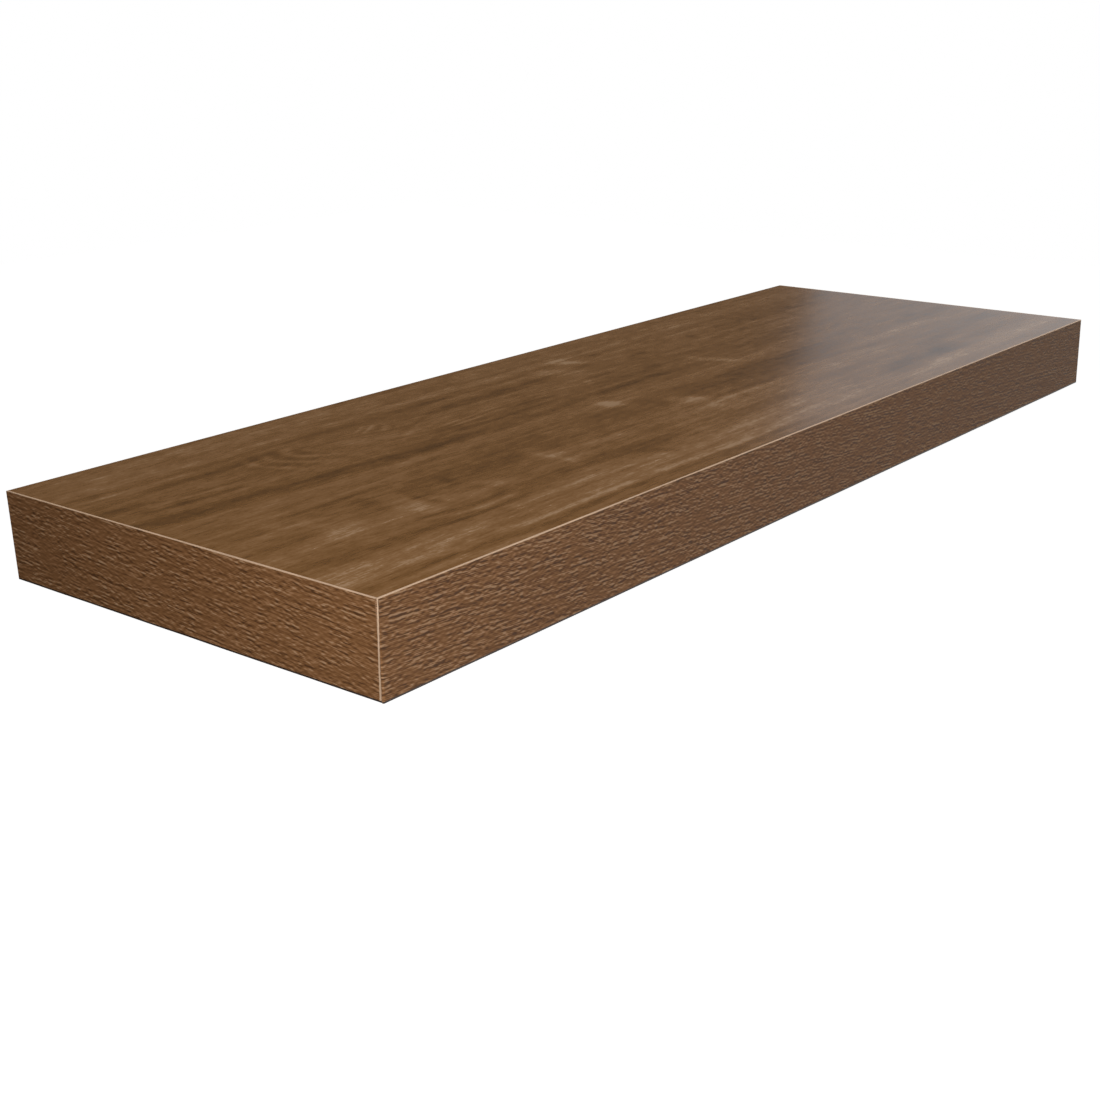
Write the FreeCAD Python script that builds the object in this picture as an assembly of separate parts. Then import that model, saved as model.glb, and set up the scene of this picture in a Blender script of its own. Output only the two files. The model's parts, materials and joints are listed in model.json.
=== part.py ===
# Hollow-core floating wall shelf on a concealed three-rod wall bracket, in millimetres.
# The origin lies on the wall plane, behind the middle of the wall rail. +X runs along the
# shelf to its right end, -Y points out from the wall to the front edge, and +Z is up.
import FreeCAD, Part
import math
import os

Vector = FreeCAD.Vector

# ---- outer size, over the edge bands ----
shelf_length = 762.0
shelf_depth = 279.0
shelf_thickness = 50.0

# ---- skins and edge bands ----
laminate_thickness = 1.0
panel_thickness = 4.0
band_thickness = 1.2
band_bevel = 0.25            # along the upper and lower edges of a band
band_land = 0.2              # flat left at each end of the front band, behind its corner bevel

# ---- particle board frame ----
front_rail_width = 30.0
end_rail_width = 30.0
rear_rail_width = 30.0
rib_width = 45.0

# ---- wall rail ----
rail_thickness = 4.0
rail_corner_radius = 3.0
rail_end_gap = 20.0          # from the rail's end to the end rail beside it
rail_edge_gap = 4.0          # from the rail's top and bottom to the panels
screw_head_room = 6.0        # from the rail's front to the rear frame rail
slot_width = 6.5
slot_length = 16.0
slot_end_margin = 25.0       # from the rail's end to the middle of its last slot
slot_rod_offset = 50.8       # from each rod to the slot on either side of it

# ---- support rods ----
rod_diameter = 12.0
rod_tip_chamfer = 1.5
rod_front_gap = 58.0         # from a rod's tip to the front frame rail
rod_bore_overrun = 8.0       # how much deeper the bore is than the rod
rod_clearance = 0.3          # around a rod, on the radius
weld_leg = 3.0
weld_crown = 0.5             # how far the weld bulges past a straight fillet

# ---- paper honeycomb ----
honeycomb_cell = 24.0        # across a cell's flats
paper_thickness = 0.4
shortest_ribbon_end = 0.5    # a ribbon's last fold is left out if it would be shorter

# ---- frame staples ----
staple_crown = 12.0
staple_leg = 10.0
staple_wire = 1.2
staple_edge_inset = 8.0      # from a rib's side to its staples

# ---- lock screws and their inserts ----
lock_screw_diameter = 6.0
lock_screw_length = 12.0
lock_screw_chamfer = 0.6
hex_socket_flats = 3.0
hex_socket_depth = 3.5
lock_tip_gap = 0.1           # from a screw's tip to its rod
lock_from_rib_end = 35.0
thread_clearance = 0.05
insert_wall = 1.5
insert_flange_width = 1.5
insert_flange_clearance = 0.1
insert_rod_gap = 5.7         # from an insert's inner end to the rod's bore
screw_passage_clearance = 0.3

# ---- worked out from the above: heights ----
shelf_top = shelf_thickness / 2
shelf_underside = -shelf_top
core_top = shelf_top - laminate_thickness - panel_thickness
core_underside = -core_top
core_height = core_top - core_underside

# ---- worked out: lengths, out from the middle ----
shelf_end = shelf_length / 2
skin_end = shelf_end - band_thickness
bay_end = skin_end - end_rail_width
rail_end = bay_end - rail_end_gap
outer_slot = rail_end - slot_end_margin
outer_rod = outer_slot - slot_rod_offset

# ---- worked out: depths, out from the wall ----
rear_rail_back = rail_thickness + screw_head_room
rear_rail_front = rear_rail_back + rear_rail_width
skin_front = shelf_depth - band_thickness
front_rail_back = skin_front - front_rail_width
rod_tip = front_rail_back - rod_front_gap
lock_depth = rear_rail_front + lock_from_rib_end

# ---- worked out: radii and small sizes ----
band_corner_bevel = band_thickness - band_land
rod_radius = rod_diameter / 2
rod_bore_radius = rod_radius + rod_clearance
lock_screw_radius = lock_screw_diameter / 2
insert_bore_radius = lock_screw_radius + thread_clearance
insert_radius = insert_bore_radius + insert_wall
insert_flange_radius = insert_radius + insert_flange_width
insert_inner_end = -(rod_bore_radius + insert_rod_gap)
lock_screw_tip = -(rod_radius + lock_tip_gap)

rod_places = {"left": -outer_rod, "centre": 0.0, "right": outer_rod}
locked_rods = ("left", "right")
out_from_wall = Vector(0, -1, 0)
upwards = Vector(0, 0, 1)


def box(x_low, x_high, depth_low, depth_high, z_low, z_high):
    """A box between two x, two depths out from the wall and two heights."""
    corner = Vector(x_low, -depth_high, z_low)
    return Part.makeBox(x_high - x_low, depth_high - depth_low, z_high - z_low, corner)


def prism(points, sweep):
    """A flat outline through the points, carried along the sweep vector."""
    return Part.Face(Part.makePolygon(points + points[:1])).extrude(sweep)


def core_box(x_low, x_high, depth_low, depth_high):
    """A box as high as the core between the two panels."""
    return box(x_low, x_high, depth_low, depth_high, core_underside, core_top)


def skin_box(z_low, z_high):
    """A sheet over the whole shelf inside its edge bands."""
    return box(-skin_end, skin_end, 0, skin_front, z_low, z_high)


def level_cylinder(x, radius, depth_low, depth_high):
    """A cylinder that points straight out from the wall at mid height."""
    return Part.makeCylinder(radius, depth_high - depth_low, Vector(x, -depth_low, 0), out_from_wall)


def upright_cylinder(x, radius, z_low, z_high):
    """An upright cylinder on the line of a lock screw."""
    return Part.makeCylinder(radius, z_high - z_low, Vector(x, -lock_depth, z_low), upwards)


def beveled_section(land_end, outer_end):
    """Cross-section of an edge band, as pairs of distance and height, beveled at both outer edges."""
    flat_end = outer_end - band_bevel
    return [
        (land_end, shelf_underside),
        (flat_end, shelf_underside),
        (outer_end, shelf_underside + band_bevel),
        (outer_end, shelf_top - band_bevel),
        (flat_end, shelf_top),
        (land_end, shelf_top),
    ]


# ---- wall bracket ----
def slot_places():
    """The x of every wall slot: one on either side of each rod."""
    return [x + side * slot_rod_offset for x in rod_places.values() for side in (-1, 1)]


def wall_slot(x):
    """The space of one level slot through the wall rail."""
    radius = slot_width / 2
    half_run = slot_length / 2 - radius
    ends = [level_cylinder(x + side * half_run, radius, 0, rail_thickness) for side in (-1, 1)]
    middle = box(x - half_run, x + half_run, 0, rail_thickness, -radius, radius)
    return middle.fuse(ends).removeSplitter()


def wall_rail():
    """Flat steel strip with rounded corners and level slots."""
    half_height = core_top - rail_edge_gap
    strip = box(-rail_end, rail_end, 0, rail_thickness, -half_height, half_height)
    corners = [e for e in strip.Edges if abs(e.tangentAt(e.FirstParameter).y) > 1 - 1e-6]
    strip = strip.makeFillet(rail_corner_radius, corners)
    return strip.cut([wall_slot(x) for x in slot_places()])


def support_rod(x):
    """Round bar from the wall rail's face to its chamfered tip."""
    shaft = level_cylinder(x, rod_radius, rail_thickness, rod_tip)
    tip_edges = [e for e in shaft.Edges if e.BoundBox.YMax < -rod_tip + rod_tip_chamfer]
    return shaft.makeChamfer(rod_tip_chamfer, tip_edges)


def rod_weld(x):
    """Fillet weld around a rod's foot: a crowned triangle turned about the rod."""
    toe_on_rail = Vector(x + rod_radius + weld_leg, -rail_thickness, 0)
    toe_on_rod = Vector(x + rod_radius, -rail_thickness - weld_leg, 0)
    root = Vector(x + rod_radius, -rail_thickness, 0)
    crown = (toe_on_rail + toe_on_rod) * 0.5 + Vector(1, -1, 0).normalize() * weld_crown
    outline = Part.Wire([
        Part.makeLine(root, toe_on_rail),
        Part.Arc(toe_on_rail, crown, toe_on_rod).toShape(),
        Part.makeLine(toe_on_rod, root),
    ])
    return Part.Face(outline).revolve(Vector(x, 0, 0), out_from_wall, 360)


# ---- lock screws and inserts ----
def lock_screw(x):
    """Set screw with chamfered ends and a hexagon socket in its lower end."""
    foot = lock_screw_tip - lock_screw_length
    body = upright_cylinder(x, lock_screw_radius, foot, lock_screw_tip)
    rims = [e for e in body.Edges if isinstance(e.Curve, Part.Circle)]
    body = body.makeChamfer(lock_screw_chamfer, rims)
    corner_radius = hex_socket_flats / math.sqrt(3)
    turns = [math.radians(60 * corner) for corner in range(6)]
    hexagon = [
        Vector(x + corner_radius * math.cos(a), -lock_depth + corner_radius * math.sin(a), foot)
        for a in turns
    ]
    return body.cut(prism(hexagon, upwards * hex_socket_depth))


def lock_insert(x):
    """Flanged brass bush for a lock screw, flush with the shelf's underside."""
    flange = upright_cylinder(x, insert_flange_radius, shelf_underside, shelf_underside + laminate_thickness)
    body = upright_cylinder(x, insert_radius, shelf_underside, insert_inner_end)
    bore = upright_cylinder(x, insert_bore_radius, shelf_underside, insert_inner_end)
    return flange.fuse(body).cut(bore).removeSplitter()


def insert_spaces():
    """The holes that the insert bodies are pressed into."""
    return [
        upright_cylinder(rod_places[side], insert_radius, shelf_underside, insert_inner_end)
        for side in locked_rods
    ]


def flange_spaces():
    """The counterbores that the insert flanges lie in."""
    radius = insert_flange_radius + insert_flange_clearance
    return [
        upright_cylinder(rod_places[side], radius, shelf_underside, shelf_underside + laminate_thickness)
        for side in locked_rods
    ]


def screw_passages():
    """The holes from the inserts up to the rods' bores."""
    radius = lock_screw_radius + screw_passage_clearance
    return [upright_cylinder(rod_places[side], radius, insert_inner_end, 0) for side in locked_rods]


def rod_spaces():
    """The bores that the rods slide in."""
    bore_end = rod_tip + rod_bore_overrun
    return [level_cylinder(x, rod_bore_radius, rear_rail_back, bore_end) for x in rod_places.values()]


# ---- staples ----
def staple(x, depth, along_x, on_top):
    """U-shaped staple let in flush across a joint of the frame, its crown centred at x and depth."""
    half_wire = staple_wire / 2
    reach = staple_crown / 2
    reach_x, reach_y = (reach, half_wire) if along_x else (half_wire, reach)
    crown_face, inward = (core_top, -1) if on_top else (core_underside, 1)

    def bar(x_low, x_high, depth_low, depth_high, drop):
        z_low, z_high = sorted((crown_face, crown_face + inward * drop))
        return box(x_low, x_high, depth_low, depth_high, z_low, z_high)

    shape = bar(x - reach_x, x + reach_x, depth - reach_y, depth + reach_y, staple_wire)
    for side in (-1, 1):
        leg_x = x + side * (reach - half_wire) if along_x else x
        leg_depth = depth if along_x else depth + side * (reach - half_wire)
        shape = shape.fuse(bar(leg_x - half_wire, leg_x + half_wire,
                               leg_depth - half_wire, leg_depth + half_wire, staple_leg))
    return shape.removeSplitter()


def frame_staples():
    """Two staples, one on top and one below, across every joint of the frame."""
    rib_joints = [x + rib_width / 2 - staple_edge_inset for x in rod_places.values()]
    end_joints = [side * (bay_end + end_rail_width / 2) for side in (-1, 1)]
    joints = [(x, rear_rail_front, False) for x in rib_joints]
    joints += [(x, front_rail_back, False) for x in rib_joints + end_joints]
    joints += [(side * bay_end, (rear_rail_back + rear_rail_front) / 2, True) for side in (-1, 1)]
    return [staple(*joint, on_top) for joint in joints for on_top in (True, False)]


# ---- honeycomb ----
def ribbon_fold_line(run):
    """Middle line of a paper ribbon over a run: flat, rise, flat, fall, as (x, height) points from 0."""
    rise = honeycomb_cell / 2 - paper_thickness
    flat = honeycomb_cell / math.sqrt(3)
    steps = [(flat, 0), (flat / 2, rise), (flat, rise), (flat / 2, 0)]
    points = [(0.0, 0.0)]
    while points[-1][0] < run - shortest_ribbon_end:
        length, height = steps[(len(points) - 1) % len(steps)]
        x, y = points[-1]
        share = min(1.0, (run - x) / length)
        points.append((x + length * share, y + (height - y) * share))
    return points


def offset_line(points, shift):
    """The same folded line moved sideways by a distance, with its ends at the same x."""
    slopes = [(b[1] - a[1]) / (b[0] - a[0]) for a, b in zip(points, points[1:])]
    starts = [a[1] - m * a[0] + shift * math.hypot(1, m) for a, m in zip(points, slopes)]
    moved = [(points[0][0], slopes[0] * points[0][0] + starts[0])]
    for index in range(1, len(slopes)):
        x = (starts[index] - starts[index - 1]) / (slopes[index - 1] - slopes[index])
        moved.append((x, slopes[index] * x + starts[index]))
    moved.append((points[-1][0], slopes[-1] * points[-1][0] + starts[-1]))
    return moved


def honeycomb(x_low, x_high):
    """Folded paper ribbons glued flat to flat, filling one bay of the core."""
    half_paper = paper_thickness / 2
    row_pitch = honeycomb_cell / 2
    rows = int((front_rail_back - rear_rail_front) // row_pitch)
    first_row = (rear_rail_front + front_rail_back - rows * row_pitch) / 2
    fold_line = ribbon_fold_line(x_high - x_low)
    edges = offset_line(fold_line, -half_paper), offset_line(fold_line, half_paper)
    ribbons = []
    for row in range(rows):
        mirrored = row % 2 == 1
        foot = first_row + (row + mirrored) * row_pitch
        way = -1 if mirrored else 1
        outline = edges[0] + edges[1][::-1]
        points = [
            Vector(x_low + x, -(foot + way * (half_paper + y)), core_underside) for x, y in outline
        ]
        ribbons.append(prism(points, upwards * core_height))
    return Part.makeCompound(ribbons)


def bays():
    """The x range of each bay between the end rails and the ribs."""
    half_rib = rib_width / 2
    lows = [-bay_end] + [x + half_rib for x in rod_places.values()]
    highs = [x - half_rib for x in rod_places.values()] + [bay_end]
    return list(zip(lows, highs))


# ---- frame and skins ----
def rear_rail():
    """Rear frame rail, set in from the wall to leave the recess for the wall rail."""
    return core_box(-bay_end, bay_end, rear_rail_back, rear_rail_front)


def front_rail():
    """Front frame rail, as long as the skins."""
    return core_box(-skin_end, skin_end, front_rail_back, skin_front)


def end_rail(side):
    """End frame rail, from the wall to the front rail."""
    x_low, x_high = sorted((side * bay_end, side * skin_end))
    return core_box(x_low, x_high, 0, front_rail_back)


def rib(x):
    """Cross rib from the rear rail to the front rail."""
    return core_box(x - rib_width / 2, x + rib_width / 2, rear_rail_front, front_rail_back)


def front_band():
    """Front edge band over the full length, beveled above, below and down both ends."""
    section = [Vector(-shelf_end, -depth, z) for depth, z in beveled_section(skin_front, shelf_depth)]
    bar = prism(section, Vector(shelf_length, 0, 0))
    bevel_start = shelf_depth - band_corner_bevel
    bevel_end = shelf_end - band_corner_bevel
    plan = [(-shelf_end, skin_front), (-shelf_end, bevel_start), (-bevel_end, shelf_depth)]
    plan += [(-x, depth) for x, depth in reversed(plan)]
    footprint = prism([Vector(x, -depth, shelf_underside) for x, depth in plan], upwards * shelf_thickness)
    return bar.common(footprint)


def end_band(side):
    """End edge band, from the wall to the back of the front band."""
    section = beveled_section(skin_end, shelf_end)
    return prism([Vector(side * x, 0, z) for x, z in section], out_from_wall * skin_front)


def save(node, shape):
    """Write one node's STEP file and report its solids and volume."""
    shape.exportStep(f"parts/{node}.step")
    print(f"{node}: {len(shape.Solids)} solids, {shape.Volume:.1f} mm3, valid {shape.isValid()}")


def main():
    os.makedirs("parts", exist_ok=True)
    staples = frame_staples()
    rod_bores = rod_spaces()
    insert_holes = insert_spaces()
    rib_cuts = staples + rod_bores + insert_holes + screw_passages()

    save("wall_rail", wall_rail())
    for name, x in rod_places.items():
        save(f"{name}_support_rod", support_rod(x))
    save("rod_welds", Part.makeCompound([rod_weld(x) for x in rod_places.values()]))

    save("top_laminate", skin_box(shelf_top - laminate_thickness, shelf_top))
    save("top_panel", skin_box(core_top, core_top + panel_thickness))
    bottom_panel = skin_box(core_underside - panel_thickness, core_underside)
    save("bottom_panel", bottom_panel.cut(insert_holes))
    bottom_laminate = skin_box(shelf_underside, shelf_underside + laminate_thickness)
    save("bottom_laminate", bottom_laminate.cut(flange_spaces()))

    save("front_rail", front_rail().cut(staples))
    save("rear_rail", rear_rail().cut(staples + rod_bores))
    for name, x in rod_places.items():
        save(f"{name}_rib", rib(x).cut(rib_cuts))
    save("frame_staples", Part.makeCompound(staples))
    for number, (x_low, x_high) in enumerate(bays(), start=1):
        save(f"honeycomb_{number}", honeycomb(x_low, x_high))

    save("front_edge_band", front_band())
    for name, side in (("left", -1), ("right", 1)):
        save(f"{name}_end_rail", end_rail(side).cut(staples))
        save(f"{name}_edge_band", end_band(side))

    save("lock_inserts", Part.makeCompound([lock_insert(rod_places[name]) for name in locked_rods]))
    for name in locked_rods:
        save(f"{name}_lock_screw", lock_screw(rod_places[name]))


main()
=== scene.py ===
"""Looks of a hollow-core walnut floating shelf and its concealed wall bracket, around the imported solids.

The frame's origin lies on the wall plane behind the middle of the shelf: +X to the right end, -Y out from the
wall to the front edge, +Z up. Lengths are metres; a name that ends in _mm holds millimetres.
"""
import json
import logging
import math
from dataclasses import dataclass
from enum import Enum

import bpy
import numpy as np
from mathutils import Matrix, Vector


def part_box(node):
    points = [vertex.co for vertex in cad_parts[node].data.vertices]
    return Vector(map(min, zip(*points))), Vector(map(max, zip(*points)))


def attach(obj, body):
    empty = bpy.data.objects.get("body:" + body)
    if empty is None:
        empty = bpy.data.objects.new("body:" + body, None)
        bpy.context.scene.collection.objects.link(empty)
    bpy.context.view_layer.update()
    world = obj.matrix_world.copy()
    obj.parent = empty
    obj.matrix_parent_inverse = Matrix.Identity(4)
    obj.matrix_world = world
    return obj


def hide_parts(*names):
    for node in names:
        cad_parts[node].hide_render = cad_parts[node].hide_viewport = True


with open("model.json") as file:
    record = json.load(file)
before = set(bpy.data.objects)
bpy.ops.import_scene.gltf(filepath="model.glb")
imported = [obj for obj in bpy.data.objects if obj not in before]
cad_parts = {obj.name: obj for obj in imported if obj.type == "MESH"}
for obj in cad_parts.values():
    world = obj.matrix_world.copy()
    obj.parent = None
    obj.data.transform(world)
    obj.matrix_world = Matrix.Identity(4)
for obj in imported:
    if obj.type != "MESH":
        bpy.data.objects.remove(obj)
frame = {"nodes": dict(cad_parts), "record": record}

log = logging.getLogger("floating_shelf")

Array = np.ndarray
Node = bpy.types.Node
Socket = bpy.types.NodeSocket
Pair = tuple[float, float]
Triple = tuple[float, float, float]
Colour = Triple

MM = 0.001
SHELF_BODY = "shelf_body"
BRACKET_BODY = "wall_bracket"
ROD_NODES = ("left_support_rod", "centre_support_rod", "right_support_rod")
WHITE = (1.0, 1.0, 1.0, 1.0)


# ---------------------------------------------------------------- shapes worked out on grids

def smoothstep(low: float, high: float, value: Array) -> Array:
    """A smooth rise from 0 at low to 1 at high: 3t squared less 2t cubed, with t clamped between them."""
    t = np.clip((value - low) / (high - low), 0.0, 1.0)
    return t * t * (3.0 - 2.0 * t)


def smooth_noise(extent: Pair, cell: Pair, reach: Pair, seed: int) -> Array:
    """Seeded noise of unit deviation: white noise blurred by a Gaussian in the frequency domain.

    Args:
        extent: length and width of the rectangle that it covers.
        cell: spacing of the samples both ways.
        reach: standard deviation of the blur both ways, which sets the length and width of a blotch.
        seed: seed of the white noise.

    Returns:
        The noise, with its first index along the length.
    """
    shape = tuple(int(math.ceil(size / step)) + 1 for size, step in zip(extent, cell))
    white = np.fft.rfft2(np.random.default_rng(seed).standard_normal(shape))
    along = np.fft.fftfreq(shape[0], cell[0])[:, None] * reach[0]
    across = np.fft.rfftfreq(shape[1], cell[1])[None, :] * reach[1]
    noise = np.fft.irfft2(white * np.exp(-2.0 * math.pi ** 2 * (along ** 2 + across ** 2)), shape)
    return (noise - noise.mean()) / noise.std()


def noise_at(along: Array, across: Array, cell: Pair, reach: Pair, seed: int) -> Array:
    """Smooth noise over the points' rectangle, blended in straight lines between its samples both ways.

    Args:
        along, across: places of the points from the rectangle's corner.
        cell, reach, seed: those of the noise.

    Returns:
        One value for each point.
    """
    noise = smooth_noise((along.max() + cell[0], across.max() + cell[1]), cell, reach, seed)
    margin = 1.001    # so that each point has a sample after it
    along = np.clip(along / cell[0], 0.0, noise.shape[0] - margin)
    across = np.clip(across / cell[1], 0.0, noise.shape[1] - margin)
    row, column = along.astype(int), across.astype(int)
    u, v = along - row, across - column
    near = noise[row, column] * (1 - v) + noise[row, column + 1] * v
    far = noise[row + 1, column] * (1 - v) + noise[row + 1, column + 1] * v
    return near * (1 - u) + far * u


@dataclass
class Loft:
    """A closed surface: rings of points joined by four-sided faces, with a fan of faces over each end.

    Attributes:
        rings: points, indexed by ring, place in the ring and axis; each ring is a closed loop.
        closed_path: true where the last ring joins the first, as round a torus, so that it has no ends.
    """

    rings: Array
    closed_path: bool = False

    def faces(self) -> Array:
        """Corner numbers of the four-sided faces, ring by ring and place by place."""
        rings, places = self.rings.shape[:2]
        ring = np.arange(rings if self.closed_path else rings - 1)[:, None]
        place = np.arange(places)[None, :]
        after_ring, after_place = (ring + 1) % rings, (place + 1) % places
        corners = [ring * places + place, ring * places + after_place,
                   after_ring * places + after_place, after_ring * places + place]
        return np.stack(np.broadcast_arrays(*corners), -1).reshape(-1, 4)

    def fans(self) -> tuple[Array, Array]:
        """Middle points of the two end rings, and the corner numbers of the three-sided faces around them."""
        rings, places = self.rings.shape[:2]
        count = rings * places
        place = np.arange(places)
        after = (place + 1) % places
        last = (rings - 1) * places
        start = np.stack([np.full(places, count), after, place], -1)
        end = np.stack([np.full(places, count + 1), last + place, last + after], -1)
        return self.rings[[0, -1]].mean(1), np.concatenate([start, end])

    def surface(self) -> tuple[Array, Array, Array]:
        """Points in ring order with the fan middles last, four-sided faces and three-sided faces.

        The faces are turned round where the volume that they hold, a sum of triple products, is negative.
        """
        points, quads = self.rings.reshape(-1, 3), self.faces()
        triangles = np.empty((0, 3), int)
        if not self.closed_path:
            middles, triangles = self.fans()
            points = np.concatenate([points, middles])
        halves = np.concatenate([quads[:, [0, 1, 2]], quads[:, [0, 2, 3]], triangles])
        p, q, r = (points[halves[:, corner]] for corner in range(3))
        if np.einsum("ij,ij->", p, np.cross(q, r)) < 0:
            quads, triangles = quads[:, ::-1], triangles[:, ::-1]
        return points, quads, triangles


def closed_mesh(name: str, *lofts: Loft) -> bpy.types.Mesh:
    """One mesh of one or more closed surfaces, whose faces point outwards.

    Args:
        name: name of the mesh.
        *lofts: the surfaces; the points of each follow those of the one before.

    Returns:
        The mesh.
    """
    points, faces = [], []
    for loft in lofts:
        loft_points, quads, triangles = loft.surface()
        faces += (quads + len(points)).tolist() + (triangles + len(points)).tolist()
        points += loft_points.tolist()
    mesh = bpy.data.meshes.new(name)
    mesh.from_pydata(points, [], faces)
    mesh.update()
    return mesh


def carry(mesh: bpy.types.Mesh, name: str, values: Array) -> None:
    """Puts one value or one vector on every point of a mesh.

    Args:
        mesh: the mesh.
        name: name of the attribute that the finishes read.
        values: one row for each ring point; the fan middles get the mean.
    """
    kind, key = ("FLOAT_VECTOR", "vector") if values.ndim == 2 else ("FLOAT", "value")
    spare = len(mesh.vertices) - len(values)
    values = np.concatenate([values, np.repeat(values.mean(0, keepdims=True), spare, axis=0)])
    attribute = mesh.attributes.new(name, kind, "POINT")
    attribute.data.foreach_set(key, values.astype(np.float32).ravel())


def add_object(name: str, data: bpy.types.ID) -> bpy.types.Object:
    """A new object in the scene, of a mesh, a lamp or a camera."""
    added = bpy.data.objects.new(name, data)
    bpy.context.scene.collection.objects.link(added)
    return added


def place_piece(mesh: bpy.types.Mesh, materials: list[bpy.types.Material], body: str,
                replaced: str, sharp_degrees: float = 30.0) -> None:
    """Makes a finished piece of a mesh, with smooth faces but for its sharp edges.

    Args:
        mesh: the piece's mesh, in place.
        materials: its finishes, in the order of the faces' material numbers.
        body: the body that it rides on.
        replaced: the node that it stands for.
        sharp_degrees: edges that turn more than this stay sharp.
    """
    piece = add_object(mesh.name, mesh)
    for material in materials:
        mesh.materials.append(material)
    mesh.shade_smooth()
    mesh.set_sharp_from_angle(angle=math.radians(sharp_degrees))
    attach(piece, body)
    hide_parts(replaced)
    log.info("%s: %d faces, rides on %s, replaces %s", piece.name, len(mesh.polygons), body, replaced)


# ---------------------------------------------------------------- finishes

def scaled(colour: Colour, factor: float) -> Colour:
    """The colour times a factor, up to white."""
    return tuple(min(1.0, channel * factor) for channel in colour)


class Bench:
    """The node tree of a material or of the world, with a short call for each kind of node that it uses."""

    def __init__(self, name: str, world: bool = False) -> None:
        """Starts an empty material, or an empty world, of that name."""
        self.owner = (bpy.data.worlds if world else bpy.data.materials).new(name)
        self.owner.use_nodes = True
        self.tree = self.owner.node_tree
        self.tree.nodes.clear()

    def add(self, kind: str, inputs: dict[str | int, object] | None = None, **settings: object) -> Node:
        """Adds a node.

        Args:
            kind: the node's type, without its leading ShaderNode.
            inputs: a value or a socket to link, for each input by name or number.
            **settings: the node's own properties.

        Returns:
            The node.
        """
        node = self.tree.nodes.new("ShaderNode" + kind)
        for key, value in settings.items():
            setattr(node, key, value)
        for key, value in (inputs or {}).items():
            if isinstance(value, Socket):
                self.tree.links.new(value, node.inputs[key])
            else:
                node.inputs[key].default_value = value
        return node

    def object_place(self) -> Socket:
        """Object coordinates, in metres."""
        return self.add("TexCoord").outputs["Object"]

    def carried(self, name: str, kind: str = "Fac") -> Socket:
        """A value, or with kind Vector a place, that the piece carries on its points."""
        return self.add("Attribute", attribute_name=name).outputs[kind]

    def vector(self, operation: str, first: object, second: object) -> Socket:
        """The result of a Vector Math node."""
        return self.add("VectorMath", {0: first, 1: second}, operation=operation).outputs[0]

    def math(self, operation: str, a: object, b: object, c: object = 0.0) -> Socket:
        """The result of a Math node."""
        return self.add("Math", {0: a, 1: b, 2: c}, operation=operation).outputs[0]

    def stretch(self, place: Socket, size: Triple, turn: float) -> Socket:
        """Coordinates counted in cells of a size in metres, after a turn about Z by so many degrees."""
        if turn:
            place = self.add("VectorRotate", {"Vector": place, "Angle": math.radians(turn)},
                             rotation_type="Z_AXIS").outputs[0]
        return self.vector("MULTIPLY", place, tuple(1.0 / side for side in size))

    def noise(self, place: Socket, size: Triple, detail: float = 2.0, roughness: float = 0.5,
              turn: float = 0.0) -> Socket:
        """Noise from 0 to 1.

        Args:
            place: coordinates in metres.
            size: length, width and height of a blotch in metres.
            detail: how many finer layers it has.
            roughness: strength of each finer layer against the one before.
            turn: degrees that the coordinates are turned about Z first.

        Returns:
            The noise.
        """
        return self.add("TexNoise", {"Vector": self.stretch(place, size, turn), "Scale": 1.0,
                                     "Detail": detail, "Roughness": roughness}).outputs["Fac"]

    def ridges(self, place: Socket, size: Triple, lag: float, share: float, turn: float = 0.0) -> Socket:
        """Noise less a share of the same noise one lag higher, so that each ridge has a groove under it.

        Args:
            place: coordinates in metres.
            size: length, width and height of a ridge in metres.
            lag: distance from a ridge down to its groove.
            share: depth of the groove against the ridge.
            turn: degrees that the coordinates are turned about Z first.

        Returns:
            The height, about one half in the middle; read as a tone, its grooves are painted shade below the
            ridges.
        """
        crest = self.noise(place, size, 0.0, turn=turn)
        groove = self.noise(self.vector("ADD", place, (0.0, lag, 0.0)), size, 0.0, turn=turn)
        return self.total([(crest, 1.0), (groove, -share)], start=share / 2)

    def chips(self, place: Socket, size: Triple, turn: float = 0.0,
              channel: int = 0) -> tuple[Socket, Socket]:
        """Cells of a size in metres, each nearest to a point of its own.

        Args:
            place: coordinates in metres.
            size: length, width and height of a cell in metres.
            turn: degrees that the coordinates are turned about Z first.
            channel: which of a cell's three random tones is given.

        Returns:
            The random tone of each cell, and the distance from its point.
        """
        cells = self.add("TexVoronoi", {"Vector": self.stretch(place, size, turn), "Scale": 1.0}).outputs
        tones = self.add("SeparateColor", {0: cells["Color"]}).outputs
        return tones[channel], cells["Distance"]

    def remap(self, value: Socket, low: float, high: float, to_low: float, to_high: float) -> Socket:
        """A value moved from one range to another and clamped to it."""
        return self.add("MapRange", {"Value": value, "From Min": low, "From Max": high,
                                     "To Min": to_low, "To Max": to_high}).outputs["Result"]

    def total(self, parts: list[tuple[object, float]], start: float) -> Socket:
        """Start plus each part times its weight."""
        result: object = start
        for value, weight in parts:
            result = self.math("MULTIPLY_ADD", value, weight, result)
        return result

    def ramp(self, value: Socket, stops: tuple[tuple[float, Colour], ...]) -> Socket:
        """A colour for each value, blended between stops."""
        node = self.add("ValToRGB", {"Fac": value})
        elements = node.color_ramp.elements
        while len(elements) < len(stops):
            elements.new(1.0)
        for element, (position, colour) in zip(elements, stops):
            element.position = position
            element.color = (*colour, 1.0)
        return node.outputs["Color"]

    def shades(self, tone: Socket, colour: Colour, darkest: float, palest: float) -> Socket:
        """The colour where the tone is 0.5, times darkest where it is 0 and times palest where it is 1."""
        return self.ramp(tone, ((0.0, scaled(colour, darkest)), (0.5, colour), (1.0, scaled(colour, palest))))

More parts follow.
